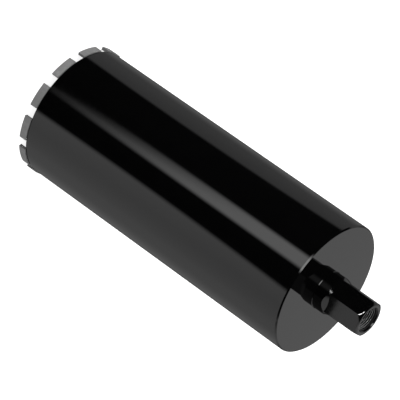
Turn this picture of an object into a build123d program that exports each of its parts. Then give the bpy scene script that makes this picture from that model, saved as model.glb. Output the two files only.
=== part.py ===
from build123d import *
import math
import os

# Barrel: a thin steel tube, open at the crown end
barrel_diameter = 150.0
barrel_wall = 1.8
barrel_length = 350.5

# Crown: curved segments that stand proud of the barrel's wall on both sides, so that it runs clear
segment_count = 12
segment_height = 9.0
segment_overhang_outside = 1.2
segment_overhang_inside = 0.3
slot_width = 12.9

# Back plate: a disc on the barrel's far rim, located by a step inside the barrel
plate_flange = 6.0
plate_step = 4.0
plate_bevel = 1.5
step_clearance = 0.1
step_lead_in = 0.8

# Hub: one turned bar with a hexagon milled on it and a thread inside
hub_length = 57.4
thread_major_diameter = 28.6
thread_depth = 1.1
thread_length = 42.0
flat_wall = 4.3
collar_height = 11.6
weld_leg = 0.6
runout_slope = 64.0
runout_crown_radius = 65.0
mouth_clearance = 0.55
end_ring_width = 1.75
corner_chamfer_height = 3.5
corner_bulge = 0.75
passage_shoulder = 4.2
hub_seat_width = 4.5
spigot_clearance = 0.05
drill_point_angle = 118.0
hub_turn = -1.3

hexagon_sides = 6

# Radii from the axis
barrel_radius = barrel_diameter / 2
barrel_inner_radius = barrel_radius - barrel_wall
segment_outer_radius = barrel_radius + segment_overhang_outside
segment_inner_radius = barrel_inner_radius - segment_overhang_inside
thread_major_radius = thread_major_diameter / 2
thread_minor_radius = thread_major_radius - thread_depth
passage_radius = thread_minor_radius - passage_shoulder
flat_distance = thread_major_radius + flat_wall
hub_radius = flat_distance / math.cos(math.pi / hexagon_sides)
mouth_radius = thread_major_radius + mouth_clearance
hub_face_radius = mouth_radius + end_ring_width
spigot_radius = hub_radius - hub_seat_width

# Heights above the plane of the segment tips, where the origin lies on the axis
rim_height = segment_height
flange_height = rim_height + barrel_length
plate_height = flange_height + plate_flange
plate_underside = flange_height - plate_step
hub_end = plate_height + hub_length
thread_end = hub_end - thread_length


def solid_of_revolution(outline):
    """Turn a closed outline of (radius, height) points once round the axis."""
    profile = make_face(Polyline(*[(radius, 0, height) for radius, height in outline], close=True))
    return revolve(profile, Axis.Z)


def make_barrel():
    return solid_of_revolution([
        (barrel_inner_radius, rim_height),
        (barrel_radius, rim_height),
        (barrel_radius, flange_height),
        (barrel_inner_radius, flange_height),
    ])


def make_back_plate():
    hole_radius = spigot_radius + spigot_clearance
    step_radius = barrel_inner_radius - step_clearance
    return solid_of_revolution([
        (hole_radius, plate_underside),
        (step_radius - step_lead_in, plate_underside),
        (step_radius, plate_underside + step_lead_in),
        (step_radius, flange_height),
        (barrel_radius, flange_height),
        (barrel_radius, plate_height - plate_bevel),
        (barrel_radius - plate_bevel, plate_height),
        (hole_radius, plate_height),
    ])


def make_hub_blank():
    """The round hub: spigot, weld at the foot, rounded end chamfer, countersunk bore, water passage."""
    mouth_depth = mouth_radius - thread_minor_radius
    drill_cone_height = passage_shoulder / math.tan(math.radians(drill_point_angle / 2))
    chamfer_foot = (hub_radius, hub_end - corner_chamfer_height)
    chamfer_top = (hub_face_radius, hub_end)
    outline = Polyline(
        chamfer_top,
        (mouth_radius, hub_end),
        (thread_minor_radius, hub_end - mouth_depth),
        (thread_minor_radius, thread_end),
        (passage_radius, thread_end - drill_cone_height),
        (passage_radius, plate_underside),
        (spigot_radius, plate_underside),
        (spigot_radius, plate_height),
        (hub_radius + weld_leg, plate_height),
        (hub_radius, plate_height + weld_leg),
        chamfer_foot,
    )
    chamfer = SagittaArc(chamfer_top, chamfer_foot, corner_bulge)
    return revolve(make_face(Plane.XZ * (outline + chamfer)), Axis.Z)


def make_flat_cutter():
    """The metal milled off one side, down to a flat that ends below in a steep, crowned runout."""
    depth_of_cut = hub_radius - flat_distance
    slope = math.radians(runout_slope)
    flat_foot = plate_height + collar_height + depth_of_cut * math.tan(slope)
    milled_height = hub_end - plate_height
    block = Pos(flat_distance + depth_of_cut, 0, hub_end - milled_height / 2) * Box(
        2 * depth_of_cut, 2 * hub_radius, milled_height
    )
    axis_x = flat_distance - runout_crown_radius * math.sin(slope)
    axis_z = flat_foot - runout_crown_radius * math.cos(slope)
    runout = Cylinder(runout_crown_radius, 2 * milled_height)
    runout = Pos(axis_x, 0, axis_z) * Rot(0, 90 + runout_slope, 0) * runout
    return block - runout


def make_hub():
    cutter = make_flat_cutter()
    flats = [
        Rot(0, 0, hub_turn + side * 360 / hexagon_sides) * cutter
        for side in range(hexagon_sides)
    ]
    return make_hub_blank() - flats


def make_segment():
    """One segment, centred on +X: a block with curved faces and radial ends."""
    pitch_angle = 360 / segment_count
    slot_angle = math.degrees(slot_width / segment_outer_radius)
    arc_angle = pitch_angle - slot_angle
    ring = solid_of_revolution([
        (segment_inner_radius, 0),
        (segment_outer_radius, 0),
        (segment_outer_radius, segment_height),
        (segment_inner_radius, segment_height),
    ])
    reach = 2 * segment_outer_radius
    half = math.radians(arc_angle / 2)
    far_x = reach * math.cos(half)
    far_y = reach * math.sin(half)
    wedge_outline = Polyline((0, 0), (far_x, -far_y), (far_x, far_y), close=True)
    wedge = extrude(make_face(wedge_outline), amount=segment_height)
    return ring & wedge


def save(shape, node):
    export_step(shape, f"parts/{node}.step")


os.makedirs("parts", exist_ok=True)
save(make_barrel(), "barrel")
save(make_back_plate(), "back_plate")
save(make_hub(), "hub")
segment = make_segment()
for number in range(segment_count):
    turned = Rot(0, 0, number * 360 / segment_count) * segment
    save(turned, f"segment_{number + 1:02d}")
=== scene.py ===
import bpy
import bmesh
import math
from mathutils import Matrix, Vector


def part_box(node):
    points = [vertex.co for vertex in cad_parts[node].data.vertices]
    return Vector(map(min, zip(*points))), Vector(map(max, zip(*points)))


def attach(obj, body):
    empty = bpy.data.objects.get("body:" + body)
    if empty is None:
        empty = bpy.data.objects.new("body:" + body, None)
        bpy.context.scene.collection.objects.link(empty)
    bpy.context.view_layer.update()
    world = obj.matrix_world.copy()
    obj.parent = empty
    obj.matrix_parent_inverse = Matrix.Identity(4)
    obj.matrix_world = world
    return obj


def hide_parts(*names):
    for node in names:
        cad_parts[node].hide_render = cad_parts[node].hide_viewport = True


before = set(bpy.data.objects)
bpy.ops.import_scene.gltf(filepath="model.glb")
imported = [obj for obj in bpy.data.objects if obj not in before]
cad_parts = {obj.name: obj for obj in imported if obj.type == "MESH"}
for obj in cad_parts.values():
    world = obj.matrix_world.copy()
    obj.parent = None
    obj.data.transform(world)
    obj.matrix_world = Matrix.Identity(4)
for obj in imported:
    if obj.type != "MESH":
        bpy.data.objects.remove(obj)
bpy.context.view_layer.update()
scene = bpy.context.scene
MM = 0.001
INCH = 25.4 * MM

# Places on the axis, read from the frame
HUB_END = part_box("hub")[1].z
SEGMENTS = [name for name in sorted(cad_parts) if name.startswith("segment_")]

# Screw thread in the hub
THREAD_PITCH = INCH / 12
THREAD_MINOR = 13.2 * MM
THREAD_MAJOR = 14.288 * MM
THREAD_LENGTH = 39.0 * MM
TAP_COLUMNS = 96

# One turn of the tap that cuts the thread, as (fraction of a pitch, radius) corners: inside the
# bore, sloping flank, flat root, sloping flank. It leaves the bore itself as the thread's flat
# crest, 0.21 of a pitch wide.
TAP_MINOR = THREAD_MINOR - 0.2 * MM
THREAD_CORNERS = (
    (0.0607, TAP_MINOR),
    (0.1493, TAP_MINOR),
    (0.5400, THREAD_MAJOR),
    (0.6700, THREAD_MAJOR),
)

# Hub's end: six flats that cut a rounded chamfer into arches, with narrowly broken edges
HUB_SIDES = 6
HALF_SIDE = math.pi / HUB_SIDES
CHAMFER_BULGE = 0.75 * MM
BROKEN_EDGE = 0.45 * MM
BAR_SIZE = 1.0 * MM
BAR_STEPS = 64
BAR_OVERRUN = math.radians(1.5)

# Tolerances and limits for reading and dressing the hub's mesh
SAME_POINT = 0.001 * MM
SAME_RADIUS = 0.05 * MM
SAME_FACE = math.radians(0.5)
SHARP_ANGLE = math.radians(20)
UPRIGHT_SLOPE = 0.01
SMALLEST_FLAT = (10 * MM) ** 2

# Numbers of two of the hub's materials. The gloss paint on the rest of it is number 0.
ON_FLATS = 1
IN_THREAD = 2

# Camera: sensor and lens in millimetres, reach and place in metres, turn in degrees.
# The studio is set out from the camera's direction round the axis.
CAMERA_SENSOR = 36.0
CAMERA_LENS = 264.712
CAMERA_REACH = (0.1, 50.0)
CAMERA_PLACE = (-0.250433, -2.692403, 1.590173)
CAMERA_TURN = (-48.136, -46.4411, 141.6981)
CAMERA_AZIMUTH = -95.31
DEGREES = 180 / math.pi

# Strengths of the light. The gloss paint mirrors the studio, and not the soft light.
SOFT_LIGHT = 0.62
SECOND_IMAGE_LEVEL = 0.35
UPPER_SCREEN_LEVEL = 0.78
HOT_LAMP_LEVEL = 29.0
HOT_LAMP_TIP_LEVEL = 0.24
FLOOR_GREY = 0.8
FLOOR_GLOW = 0.9
FLOOR_REACH = 6.0
LAMP_AIM = Vector((0.0, 0.0, 0.2))

# Range in which most of a noise's values lie
NOISE_LOW = 0.3
NOISE_HIGH = 0.7


# Node helpers

class Nodes:
    """A node tree with short calls to add and link nodes."""

    def __init__(self, tree):
        self.tree = tree
        tree.nodes.clear()

    def add(self, kind, **values):
        node = self.tree.nodes.new(kind)
        for key, value in values.items():
            setattr(node, key, value)
        return node

    def link(self, source, target):
        self.tree.links.new(source, target)

    def put(self, socket, value):
        if isinstance(value, bpy.types.NodeSocket):
            self.link(value, socket)
        else:
            socket.default_value = value

    def math(self, operation, a, b=0.0, c=0.0):
        node = self.add("ShaderNodeMath", operation=operation)
        for socket, value in zip(node.inputs, (a, b, c)):
            self.put(socket, value)
        return node.outputs[0]

    def product(self, first, *others):
        for other in others:
            first = self.math("MULTIPLY", first, other)
        return first

    def line(self, value, slope, start):
        """A straight line over value, with its height at 0."""
        return self.math("MULTIPLY_ADD", value, slope, start)

    def over(self, value, limit):
        """How far value is over limit, and 0 below it."""
        return self.math("MAXIMUM", self.math("SUBTRACT", value, limit), 0.0)

    def step(self, value, low, high, out_low=0.0, out_high=1.0):
        """A smooth step from out_low to out_high as value goes from low to high."""
        node = self.add("ShaderNodeMapRange", interpolation_type="SMOOTHSTEP")
        self.put(node.inputs["Value"], value)
        self.put(node.inputs["From Min"], low)
        self.put(node.inputs["From Max"], high)
        self.put(node.inputs["To Min"], out_low)
        self.put(node.inputs["To Max"], out_high)
        return node.outputs[0]

    def border(self, distance, blur):
        """A soft border: 0 at a distance of -blur, 1 at blur."""
        return self.step(distance, -blur, blur)

    def window(self, value, rise, fall):
        """1 between two soft borders. Each is a pair: where it is still 0, and where it is 1."""
        return self.product(self.step(value, *rise), self.step(value, *fall))

    def ramp(self, value, low, high, points):
        """Straight lines between (value, grey level) points."""
        fraction = self.math("DIVIDE", self.math("SUBTRACT", value, low), high - low)
        node = self.add("ShaderNodeValToRGB")
        stops = node.color_ramp.elements
        while len(stops) < len(points):
            stops.new(0.5)
        top = max(level for _, level in points)
        for stop, (place, level) in zip(stops, points):
            stop.position = (place - low) / (high - low)
            stop.color = grey(level / top)
        self.link(fraction, node.inputs[0])
        return self.math("MULTIPLY", node.outputs[0], top)

    def blend(self, a, b, share):
        """a where share is 0, b where share is 1."""
        return self.math("MULTIPLY_ADD", self.math("SUBTRACT", b, a), share, a)

    def place(self):
        """The object's own coordinates."""
        return self.add("ShaderNodeTexCoord").outputs["Object"]

    def stretch(self, vector, scale):
        node = self.add("ShaderNodeMapping")
        self.link(vector, node.inputs["Vector"])
        node.inputs["Scale"].default_value = scale
        return node.outputs[0]

    def noise(self, vector, scale, detail=2.0, roughness=0.5):
        node = self.add("ShaderNodeTexNoise")
        self.link(vector, node.inputs["Vector"])
        node.inputs["Scale"].default_value = scale
        node.inputs["Detail"].default_value = detail
        node.inputs["Roughness"].default_value = roughness
        return node.outputs["Fac"]

    def spread(self, noise, low=0.0, high=1.0):
        """Spreads a noise from low to high."""
        return self.step(noise, NOISE_LOW, NOISE_HIGH, low, high)

    def colour(self, share, a, b):
        """Colour a where share is 0, colour b where share is 1."""
        node = self.add("ShaderNodeMix", data_type="RGBA")
        self.put(node.inputs["Factor"], share)
        self.put(node.inputs["A"], a)
        self.put(node.inputs["B"], b)
        return node.outputs["Result"]

    def bump(self, height, strength, distance):
        node = self.add("ShaderNodeBump")
        node.inputs["Strength"].default_value = strength
        node.inputs["Distance"].default_value = distance
        self.link(height, node.inputs["Height"])
        return node.outputs[0]

    def background(self, strength):
        node = self.add("ShaderNodeBackground")
        node.inputs["Color"].default_value = grey(1.0)
        self.put(node.inputs["Strength"], strength)
        return node.outputs[0]

    def pick(self, share, a, b):
        """Shader a where share is 0, shader b where share is 1."""
        node = self.add("ShaderNodeMixShader")
        for socket, value in zip(node.inputs, (share, a, b)):
            self.link(value, socket)
        return node.outputs[0]

    def principled(self, **values):
        node = self.add("ShaderNodeBsdfPrincipled")
        for key, value in values.items():
            self.put(node.inputs[key.replace("_", " ")], value)
        self.surface(node.outputs[0])

    def surface(self, shader, kind="ShaderNodeOutputMaterial"):
        self.link(shader, self.add(kind).inputs["Surface"])


def grey(level):
    return (level, level, level, 1.0)


def new_material(name):
    material = bpy.data.materials.new(name)
    material.use_nodes = True
    return material, Nodes(material.node_tree)


# Materials

def gloss_paint(name, smoothest, roughest):
    """Deep black sprayed gloss paint: mirror-like, with a faint orange peel."""
    material, n = new_material(name)
    place = n.place()
    cloud = n.noise(place, scale=60.0, detail=3.0)
    patches = n.noise(place, scale=220.0, detail=3.0)
    orange_peel = n.noise(place, scale=700.0, detail=1.0)
    n.principled(
        Base_Color=n.colour(cloud, (0.0011, 0.0011, 0.0012, 1.0), (0.0019, 0.0019, 0.0020, 1.0)),
        Roughness=n.spread(patches, smoothest, roughest),
        IOR=1.5,
        Normal=n.bump(orange_peel, strength=0.02, distance=0.1 * MM),
    )
    return material


def segment_metal():
    """Sintered metal with diamond grit, dressed along the axis: matt grey, with grain and streaks."""
    material, n = new_material("sintered_segment")
    place = n.place()
    streak = n.noise(n.stretch(place, (1.0, 1.0, 0.08)), scale=900.0, detail=3.0, roughness=0.6)
    grain = n.noise(place, scale=2500.0, detail=2.0, roughness=0.6)
    both = n.math("MULTIPLY_ADD", streak, 0.6, n.math("MULTIPLY", grain, 0.4))
    n.principled(
        Base_Color=n.colour(n.spread(both), grey(0.222), grey(0.308)),
        Roughness=n.spread(grain, 0.38, 0.52),
        Metallic=0.1,
        Normal=n.bump(both, strength=0.35, distance=0.2 * MM),
    )
    return material


def thread_metal():
    """The cut thread: turned steel with painted shade in its roots, and dark under the paint of the
    first turns.
    """
    material, n = new_material("cut_thread")
    place = n.place()
    marks = n.noise(n.stretch(place, (0.05, 0.05, 1.0)), scale=3000.0, detail=2.0)
    axes = n.add("ShaderNodeSeparateXYZ")
    n.link(place, axes.inputs[0])
    x, y, z = axes.outputs
    depth = n.math("SUBTRACT", HUB_END, z)
    bare = n.step(n.line(marks, 2.0 * MM, depth), 2.5 * MM, 9.0 * MM)
    radius = n.math("SQRT", n.math("MULTIPLY_ADD", y, y, n.math("MULTIPLY", x, x)))
    # painted shade: the thread's roots get a dark colour, so only the crests show bare steel
    crest = n.step(radius, THREAD_MINOR + 0.30 * MM, THREAD_MINOR + 0.10 * MM)
    bare_and_unshaded = n.math("MULTIPLY", bare, crest)
    steel = n.colour(marks, grey(0.66), grey(0.82))
    n.principled(
        Base_Color=n.colour(bare_and_unshaded, grey(0.006), steel),
        Roughness=n.spread(marks, 0.3, 0.45),
        Metallic=n.math("MULTIPLY", bare_and_unshaded, 0.6),
        Specular_IOR_Level=0.2,
    )
    return material


PAINT = gloss_paint("gloss_black_paint", 0.03, 0.055)
# The paint on the milled flats is less smooth, because it follows the milling marks.
FLAT_PAINT = gloss_paint("gloss_black_paint_on_flats", 0.13, 0.18)
SEGMENT = segment_metal()
THREAD = thread_metal()


def dress(node, material):
    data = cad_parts[node].data
    data.materials.clear()
    data.materials.append(material)


for node in ("barrel", "back_plate", "hub"):
    dress(node, PAINT)
for node in SEGMENTS:
    dress(node, SEGMENT)


# Cutters for the hub: one solid that cuts the thread, and bars that break the edges

def finish_cutter(name, mesh, material):
    """Makes an object of a closed bmesh. What it cuts takes its material."""
    bmesh.ops.recalc_face_normals(mesh, faces=mesh.faces)
    data = bpy.data.meshes.new(name)
    mesh.to_mesh(data)
    mesh.free()
    data.materials.append(material)
    cutter = bpy.data.objects.new(name, data)
    scene.collection.objects.link(cutter)
    return cutter


def close_end(mesh, rim, height):
    """Closes one end of the tap with a fan of faces from a point on the axis."""
    centre = mesh.verts.new((0, 0, height))
    for a, b in zip(rim, rim[1:] + rim[:1]):
        mesh.faces.new((centre, a, b))


def make_tap():
    """The solid that a tap sweeps: a right-hand thread, closed at both ends."""
    low = HUB_END - THREAD_LENGTH
    corners = len(THREAD_CORNERS)
    turns = int(THREAD_LENGTH / THREAD_PITCH) + 2
    rows = turns * corners
    mesh = bmesh.new()
    grid = []
    for column in range(TAP_COLUMNS):
        part = column / TAP_COLUMNS
        angle = 2 * math.pi * part
        line = []
        for row in range(rows):
            fraction, radius = THREAD_CORNERS[row % corners]
            z = low + (row // corners + fraction + part) * THREAD_PITCH
            line.append(mesh.verts.new((radius * math.cos(angle), radius * math.sin(angle), z)))
        grid.append(line)
    for here, there in zip(grid, grid[1:]):
        for row in range(rows - 1):
            mesh.faces.new((here[row], there[row], there[row + 1], here[row + 1]))
    # the last column meets the first one a whole turn further up
    last = grid[-1]
    first = grid[0]
    for row in range(rows - corners - 1):
        mesh.faces.new((last[row], first[row + corners], first[row + corners + 1], last[row + 1]))
    foot = [line[0] for line in grid] + first[corners:0:-1]
    head = [line[-1] for line in grid] + last[-2:-2 - corners:-1]
    close_end(mesh, foot, low)
    close_end(mesh, head, low + turns * THREAD_PITCH)
    return finish_cutter("tap", mesh, THREAD)


def measure_hub_end():
    """Corner radius, end ring's radius, height of the chamfer and turn of the hexagon, in the frame."""
    points = [vertex.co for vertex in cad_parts["hub"].data.vertices]
    ring = max(point.xy.length for point in points if point.z > HUB_END - SAME_POINT)
    near_end = [point for point in points if point.z > HUB_END - ring / 2]
    corner = max(point.xy.length for point in near_end)
    corners = [point for point in near_end if point.xy.length > corner - SAME_POINT]
    highest = max(corners, key=lambda point: point.z)
    turn = math.atan2(highest.y, highest.x) - HALF_SIDE
    return corner, ring, HUB_END - highest.z, turn


CORNER_RADIUS, RING_RADIUS, CHAMFER_HEIGHT, HUB_TURN = measure_hub_end()
FLAT_DISTANCE = CORNER_RADIUS * math.cos(HALF_SIDE)


def end_chamfer(radius):
    """Height of the hub's rounded end chamfer at a radius, and its normal's two components."""
    run = CORNER_RADIUS - RING_RADIUS
    chord = math.hypot(run, CHAMFER_HEIGHT)
    arc_radius = (chord ** 2 / 4 + CHAMFER_BULGE ** 2) / (2 * CHAMFER_BULGE)
    inward = (arc_radius - CHAMFER_BULGE) / chord
    centre_radius = (CORNER_RADIUS + RING_RADIUS) / 2 - inward * CHAMFER_HEIGHT
    centre_height = -CHAMFER_HEIGHT / 2 - inward * run
    aside = radius - centre_radius
    above = math.sqrt(arc_radius ** 2 - aside ** 2)
    return HUB_END + centre_height + above, aside / arc_radius, above / arc_radius


def bar_section(middle, turn):
    """Corners of a bar's section, where the flat that faces middle meets the chamfer at a turn."""
    radius = FLAT_DISTANCE / math.cos(turn)
    height, outward, upward = end_chamfer(radius)
    axis = Vector((0.0, 0.0, 1.0))
    ray = Vector((math.cos(middle + turn), math.sin(middle + turn), 0.0))
    flat_normal = Vector((math.cos(middle), math.sin(middle), 0.0))
    chamfer_normal = ray * outward + axis * upward
    out = (flat_normal + chamfer_normal).normalized()
    along = flat_normal.cross(chamfer_normal).normalized()
    aside = out.cross(along) * BAR_SIZE
    depth = BROKEN_EDGE * math.sin(flat_normal.angle(chamfer_normal) / 2)
    foot = ray * radius + axis * height - out * depth
    top = foot + out * BAR_SIZE
    return foot - aside, foot + aside, top + aside, top - aside


def make_edge_cutter(name, sides):
    """Bars swept along the arches of some sides. Each breaks its arch with a narrow flat."""
    mesh = bmesh.new()
    reach = HALF_SIDE + BAR_OVERRUN
    for side in sides:
        middle = HUB_TURN + 2 * HALF_SIDE * side
        sections = []
        for step in range(BAR_STEPS + 1):
            turn = reach * (2 * step / BAR_STEPS - 1)
            sections.append([mesh.verts.new(point) for point in bar_section(middle, turn)])
        for here, there in zip(sections, sections[1:]):
            for k in range(len(here)):
                mesh.faces.new((here[k], here[k - 1], there[k - 1], there[k]))
        mesh.faces.new(sections[0])
        mesh.faces.new(sections[-1])
    return finish_cutter(name, mesh, PAINT)


# Hub with its screw thread and its broken edges

def forget_normals(mesh):
    """Drops stored normals and sharp edges, so that shading follows the faces."""
    for name in ("custom_normal", "sharp_edge", "sharp_face"):
        if name in mesh.attributes:
            mesh.attributes.remove(mesh.attributes[name])


def join_faces(mesh):
    """Joins the points that the frame's faces share, and the triangles that lie in one plane."""
    work = bmesh.new()
    work.from_mesh(mesh)
    bmesh.ops.remove_doubles(work, verts=work.verts, dist=SAME_POINT)
    bmesh.ops.dissolve_limit(work, angle_limit=SAME_FACE, verts=work.verts, edges=work.edges)
    work.to_mesh(mesh)
    work.free()
    forget_normals(mesh)


def cut(obj, cutters):
    """Takes the cutters out of an object and deletes them."""
    for cutter in cutters:
        modifier = obj.modifiers.new(cutter.name, "BOOLEAN")
        modifier.operation = "DIFFERENCE"
        modifier.solver = "EXACT"
        modifier.object = cutter
        modifier.material_mode = "TRANSFER"
    bpy.context.view_layer.update()
    graph = bpy.context.evaluated_depsgraph_get()
    result = bpy.data.meshes.new_from_object(obj.evaluated_get(graph))
    obj.modifiers.clear()
    obj.data = result
    for cutter in cutters:
        bpy.data.objects.remove(cutter)
    forget_normals(result)


def sort_faces(mesh):
    """Gives the milled flats and the bore along the thread their own materials."""
    for face in mesh.polygons:
        if abs(face.normal.z) > UPRIGHT_SLOPE:
            continue
        if face.area > SMALLEST_FLAT:
            face.material_index = ON_FLATS
        in_bore = face.center.xy.length < THREAD_MINOR + SAME_RADIUS
        if in_bore and face.center.z > HUB_END - THREAD_LENGTH:
            face.material_index = IN_THREAD


def weld_and_shade(mesh):
    """Welds points that the cuts leave double, and shades smoothly between sharp borders.

    A border is sharp where the angle is steep or the material changes.
    """
    work = bmesh.new()
    work.from_mesh(mesh)
    bmesh.ops.remove_doubles(work, verts=work.verts, dist=SAME_POINT)
    for face in work.faces:
        face.smooth = True
    for edge in work.edges:
        slots = {face.material_index for face in edge.link_faces}
        edge.smooth = len(slots) == 1 and edge.calc_face_angle(0.0) < SHARP_ANGLE
    work.to_mesh(mesh)
    work.free()


def make_hub():
    """The frame's hub with the thread cut in it and its edges broken."""
    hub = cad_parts["hub"].copy()
    hub.data = hub.data.copy()
    hub.name = "hub_threaded"
    hub.parent = None
    scene.collection.objects.link(hub)
    join_faces(hub.data)
    hub.data.materials.clear()
    for material in (PAINT, FLAT_PAINT, THREAD):
        hub.data.materials.append(material)
    even_edges = make_edge_cutter("even_edges", range(0, HUB_SIDES, 2))
    odd_edges = make_edge_cutter("odd_edges", range(1, HUB_SIDES, 2))
    cut(hub, [even_edges, odd_edges, make_tap()])
    sort_faces(hub.data)
    weld_and_shade(hub.data)
    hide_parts("hub")
    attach(hub, "root")


# Studio: what the gloss paint mirrors, and the soft light on everything else.
# Azimuths are in degrees from the camera's direction, elevations in degrees above the horizon.
# A wall's tones are (azimuth, level) points, for its lower and for its upper part.

HALF_TURN = 180.0
UPPER_TONES_IN_FRONT = (-20.0, 15.0)
UPPER_TONES_BEHIND = (8.0, 20.0)
LEAN_START = -23.0


def upper_part(n, elevation, behind):
    """Share of a wall's upper tones. It grows with elevation, and starts higher behind the bit."""
    start, end = [
        n.blend(front, rear, behind) for front, rear in zip(UPPER_TONES_IN_FRONT, UPPER_TONES_BEHIND)
    ]
    return n.step(elevation, start, end)


def wall_edge(n, elevation, nearest, curve, middle, lean):
    """Azimuth of a wall's front edge: a curve round its middle, and a straight lean above it."""
    low_part = n.math("MINIMUM", elevation, LEAN_START)
    off_middle = n.math("ABSOLUTE", n.math("SUBTRACT", low_part, middle))
    curved = n.line(n.math("POWER", off_middle, 2.0), slope=curve, start=nearest)
    return n.line(n.over(elevation, LEAN_START), slope=lean, start=curved)


def right_wall(n, azimuth, elevation):
    """A big white screen from the bit's right side to behind it."""
    low_tones = [
        (35, 1.03), (48, 0.93), (62, 0.82), (82, 0.76), (101, 0.67), (121, 0.44), (135, 0.36),
        (150, 0.28), (165, 0.14),
    ]
    high_tones = [(60, 0.92), (112, 0.90), (130, 0.66), (150, 0.60), (180, 0.65)]
    low = n.ramp(azimuth, 0.0, HALF_TURN, low_tones)
    high = n.ramp(azimuth, 0.0, HALF_TURN, high_tones)
    level = n.blend(low, high, upper_part(n, elevation, behind=n.step(azimuth, 115.0, 145.0)))
    edge = wall_edge(n, elevation, nearest=32.0, curve=0.39, middle=-28.5, lean=0.23)
    inside = n.border(n.math("SUBTRACT", azimuth, edge), blur=4.5)
    top_in_front = n.step(elevation, 50.0, 18.0)
    top_behind = n.product(n.step(azimuth, 115.0, 150.0), n.step(elevation, 40.0, 36.0))
    return n.product(level, inside, n.math("MAXIMUM", top_in_front, top_behind))


def upper_screen(n, azimuth, elevation):
    """A slanting screen above the right wall."""
    far_side = n.line(elevation, slope=-0.5, start=190.0)
    near_border = n.step(azimuth, 95.0, 106.0)
    far_border = n.border(n.math("SUBTRACT", far_side, azimuth), blur=2.0)
    height = n.window(elevation, rise=(34.0, 40.0), fall=(66.0, 61.0))
    return n.product(near_border, far_border, height, UPPER_SCREEN_LEVEL)


def left_wall(n, azimuth, elevation):
    """A greyer screen on the left that starts further back."""
    low_tones = [
        (-165, 0.14), (-150, 0.24), (-132, 0.21), (-120, 0.28), (-110, 0.33), (-98, 0.38),
    ]
    high_tones = [(-180, 0.65), (-165, 0.50), (-150, 0.36), (-128, 0.46)]
    low = n.ramp(azimuth, -HALF_TURN, 0.0, low_tones)
    high = n.ramp(azimuth, -HALF_TURN, 0.0, high_tones)
    level = n.blend(low, high, upper_part(n, elevation, behind=n.step(azimuth, -115.0, -145.0)))
    edge = wall_edge(n, elevation, nearest=-92.0, curve=-0.56, middle=-29.0, lean=-0.2)
    edge = n.line(n.over(elevation, 26.0), slope=-0.45, start=edge)
    inside = n.border(n.math("SUBTRACT", edge, azimuth), blur=4.0)
    return n.product(level, n.step(elevation, 42.0, 36.0), inside)


def strip_light(n, azimuth, elevation):
    """A tall strip light beside the camera, brighter, wider and softer towards its top."""
    level = n.line(elevation, slope=0.0286, start=2.865)
    rise = n.math("DIVIDE", n.over(elevation, -10.0), 72.0)
    left_side = n.line(n.math("POWER", rise, 2.0), slope=-16.0, start=-26.0)
    upper = n.step(elevation, -10.0, 24.0)
    right_side = n.blend(-4.8, -1.8, upper)
    left_blur = n.blend(4.0, 12.0, upper)
    right_blur = n.blend(4.0, 8.0, upper)
    from_left = n.math("DIVIDE", n.math("SUBTRACT", azimuth, left_side), left_blur)
    from_right = n.math("DIVIDE", n.math("SUBTRACT", right_side, azimuth), right_blur)
    inside = n.product(n.border(from_left, blur=1.0), n.border(from_right, blur=1.0))
    further_left = n.math("MAXIMUM", n.math("SUBTRACT", -12.0, azimuth), 0.0)
    lowest = n.line(further_left, slope=0.12, start=-29.3)
    foot = n.border(n.math("SUBTRACT", elevation, lowest), blur=2.5)
    top = n.step(elevation, 78.0, 72.0)
    return n.product(inside, level, foot, top)


def hot_lamp(n, azimuth, elevation):
    """A narrow bright lamp beside the strip light, that glints on the hub's broken edges.

    One runout's end mirrors a short stretch of it. The lamp is narrower and dimmer there.
    """
    path = n.line(elevation, slope=-0.62, start=-21.3)
    aside = n.math("ABSOLUTE", n.math("SUBTRACT", azimuth, path))
    height = n.window(elevation, rise=(1.0, 4.0), fall=(38.0, 32.0))
    runout = n.window(elevation, rise=(23.3, 23.9), fall=(27.2, 26.4))
    for_runout = n.step(aside, 2.8, 0.3, 0.0, HOT_LAMP_TIP_LEVEL)
    share = n.math("MAXIMUM", n.math("SUBTRACT", 1.0, runout), for_runout)
    return n.product(n.step(aside, 6.0, 3.0), height, share, HOT_LAMP_LEVEL)


def studio(n):
    """Strength of what a mirror ray meets. In the second mirror image it is fainter."""
    turned = n.add("ShaderNodeVectorRotate", rotation_type="Z_AXIS")
    n.link(n.add("ShaderNodeTexCoord").outputs["Generated"], turned.inputs["Vector"])
    turned.inputs["Angle"].default_value = math.radians(-CAMERA_AZIMUTH)
    axes = n.add("ShaderNodeSeparateXYZ")
    n.link(turned.outputs[0], axes.inputs[0])
    x, y, z = axes.outputs
    azimuth = n.math("MULTIPLY", n.math("ARCTAN2", y, x), DEGREES)
    elevation = n.math("MULTIPLY", n.math("ARCSINE", z), DEGREES)
    right = n.math("MAXIMUM", right_wall(n, azimuth, elevation), upper_screen(n, azimuth, elevation))
    walls = n.math("ADD", right, left_wall(n, azimuth, elevation))
    lights = n.math("ADD", walls, strip_light(n, azimuth, elevation))
    # a ray's depth is 2 in the first mirror image and 3 in the second
    depth = n.add("ShaderNodeLightPath").outputs["Ray Depth"]
    second_image = n.step(depth, 2.2, 2.8)
    first_image = n.math("SUBTRACT", 1.0, second_image)
    lamp = n.product(hot_lamp(n, azimuth, elevation), first_image)
    return n.math("MULTIPLY_ADD", lights, n.blend(1.0, SECOND_IMAGE_LEVEL, second_image), lamp)


def make_world():
    """White to the camera, the studio to mirror rays and a soft light to everything else."""
    world = bpy.data.worlds.new("studio")
    world.use_nodes = True
    scene.world = world
    n = Nodes(world.node_tree)
    rays = n.add("ShaderNodeLightPath").outputs
    unseen = n.pick(rays["Is Glossy Ray"], n.background(SOFT_LIGHT), n.background(studio(n)))
    seen = n.pick(rays["Is Camera Ray"], unseen, n.background(1.0))
    n.surface(seen, "ShaderNodeOutputWorld")


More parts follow.
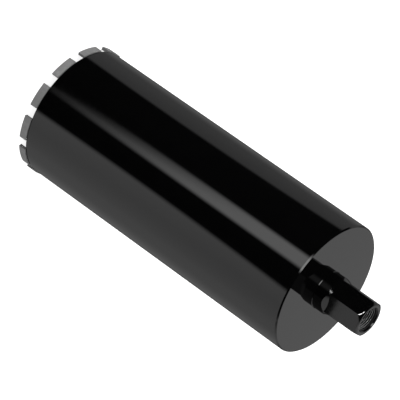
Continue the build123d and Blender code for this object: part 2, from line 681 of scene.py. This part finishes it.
def make_floor():
    """A plain white floor that keeps the shadow. The paint mirrors the studio instead of it."""
    material, n = new_material("white_floor")
    lit = n.add("ShaderNodeBsdfDiffuse")
    lit.inputs["Color"].default_value = grey(FLOOR_GREY)
    glow = n.add("ShaderNodeEmission")
    glow.inputs["Strength"].default_value = FLOOR_GLOW
    both = n.add("ShaderNodeAddShader")
    n.link(lit.outputs[0], both.inputs[0])
    n.link(glow.outputs[0], both.inputs[1])
    to_camera = n.add("ShaderNodeLightPath").outputs["Is Camera Ray"]
    n.surface(n.pick(to_camera, lit.outputs[0], both.outputs[0]))
    mesh = bpy.data.meshes.new("floor")
    r = FLOOR_REACH
    mesh.from_pydata([(-r, -r, 0), (r, -r, 0), (r, r, 0), (-r, r, 0)], [], [(0, 1, 2, 3)])
    mesh.materials.append(material)
    floor = bpy.data.objects.new("floor", mesh)
    scene.collection.objects.link(floor)
    floor.visible_glossy = False


def make_lamp(name, azimuth, elevation, distance, size, energy):
    """A soft round lamp aimed at the bit. The paint doesn't mirror it."""
    data = bpy.data.lights.new(name, "AREA")
    data.shape = "DISK"
    data.size = size
    data.energy = energy
    lamp = bpy.data.objects.new(name, data)
    scene.collection.objects.link(lamp)
    around = math.radians(CAMERA_AZIMUTH + azimuth)
    up = math.radians(elevation)
    direction = Vector((math.cos(up) * math.cos(around), math.cos(up) * math.sin(around), math.sin(up)))
    lamp.location = LAMP_AIM + direction * distance
    lamp.rotation_euler = (-direction).to_track_quat("-Z", "Y").to_euler()
    lamp.visible_glossy = False


def make_camera():
    data = bpy.data.cameras.new("camera")
    data.sensor_width = CAMERA_SENSOR
    data.lens = CAMERA_LENS
    data.clip_start, data.clip_end = CAMERA_REACH
    camera = bpy.data.objects.new("camera", data)
    scene.collection.objects.link(camera)
    camera.location = CAMERA_PLACE
    camera.rotation_euler = [math.radians(angle) for angle in CAMERA_TURN]
    scene.camera = camera


make_hub()
make_camera()
make_world()
make_floor()
make_lamp("key", azimuth=-70.0, elevation=30.0, distance=2.5, size=1.6, energy=31.0)

scene.view_settings.view_transform = "Standard"
